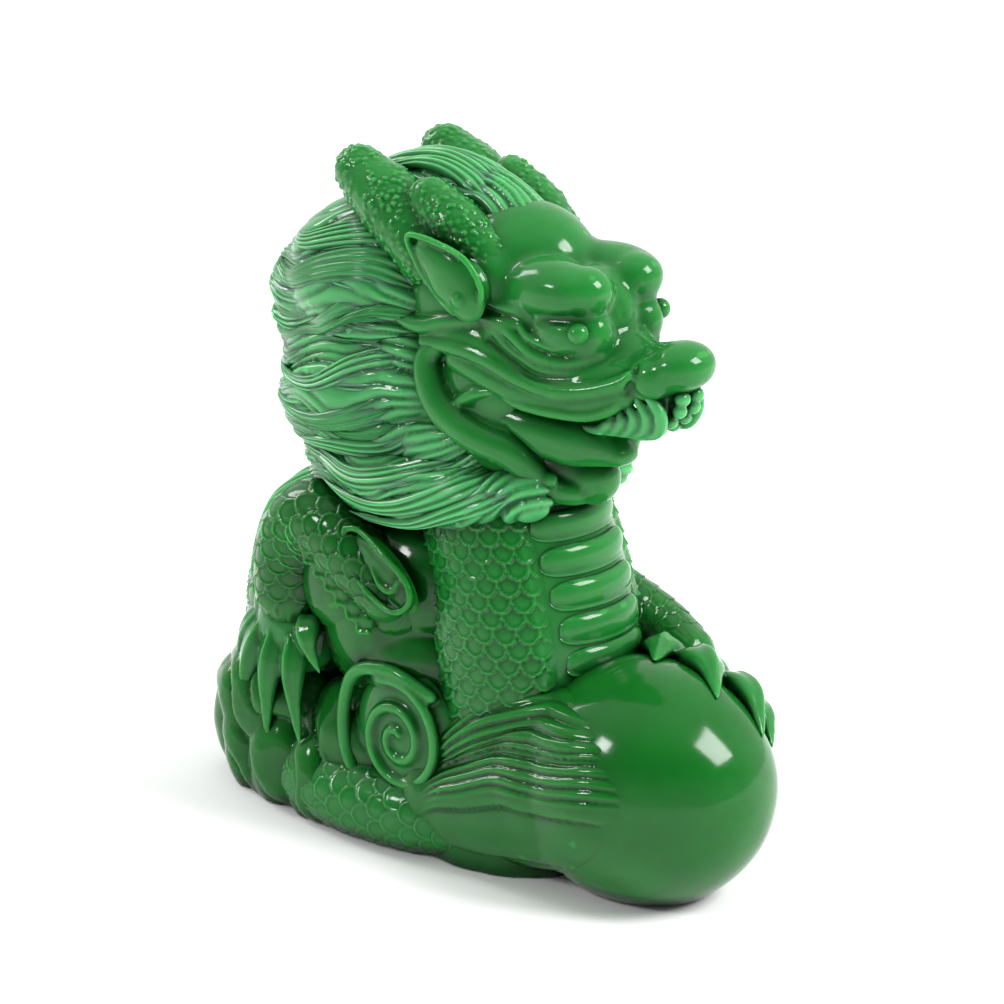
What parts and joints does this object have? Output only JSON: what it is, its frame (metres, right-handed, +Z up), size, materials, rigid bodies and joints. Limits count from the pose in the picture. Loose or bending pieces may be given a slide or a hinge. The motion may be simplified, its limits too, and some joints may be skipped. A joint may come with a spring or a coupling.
{
  "type": "dragon figurine",
  "caption": "Small glossy jade-green cast dragon seated on a cloud base, tail tuft and one paw laid against a flaming pearl.",
  "frame": {"origin": "on the flat underside, on the middle plane and about under the neck", "axes": "+X the way the dragon looks, +Y its left side, +Z up; the underside lies in Z = 0"},
  "size_m": [0.0819, 0.0338, 0.0842],
  "materials": {
    "jade_deep": "imitation jade, cast and fire-polished, deep green where thick",
    "jade_bright": "the same casting where it is thin and finely modelled, so it reads lighter"
  },
  "bodies": {
    "root": {"flaming_pearl": "jade_deep", "cloud_base": "jade_deep", "neck": "jade_deep", "body_coil": "jade_deep", "belly_plates": "jade_deep", "cloud_scroll_right": "jade_deep", "cloud_scroll_left": "jade_deep", "head": "jade_deep", "horn_right": "jade_deep", "horn_left": "jade_deep", "foreleg_right": "jade_deep", "paw_right": "jade_deep", "foreleg_left": "jade_deep", "paw_left": "jade_deep", "tail": "jade_bright", "tail_tuft": "jade_bright", "lower_jaw": "jade_bright", "tongue": "jade_bright", "nose_whiskers": "jade_bright", "eye_right": "jade_bright", "eye_left": "jade_bright", "ear_right": "jade_bright", "ear_left": "jade_bright", "mane_crest": "jade_bright", "mane_right": "jade_bright", "mane_left": "jade_bright", "back_hair": "jade_bright"}
  },
  "joints": []
}
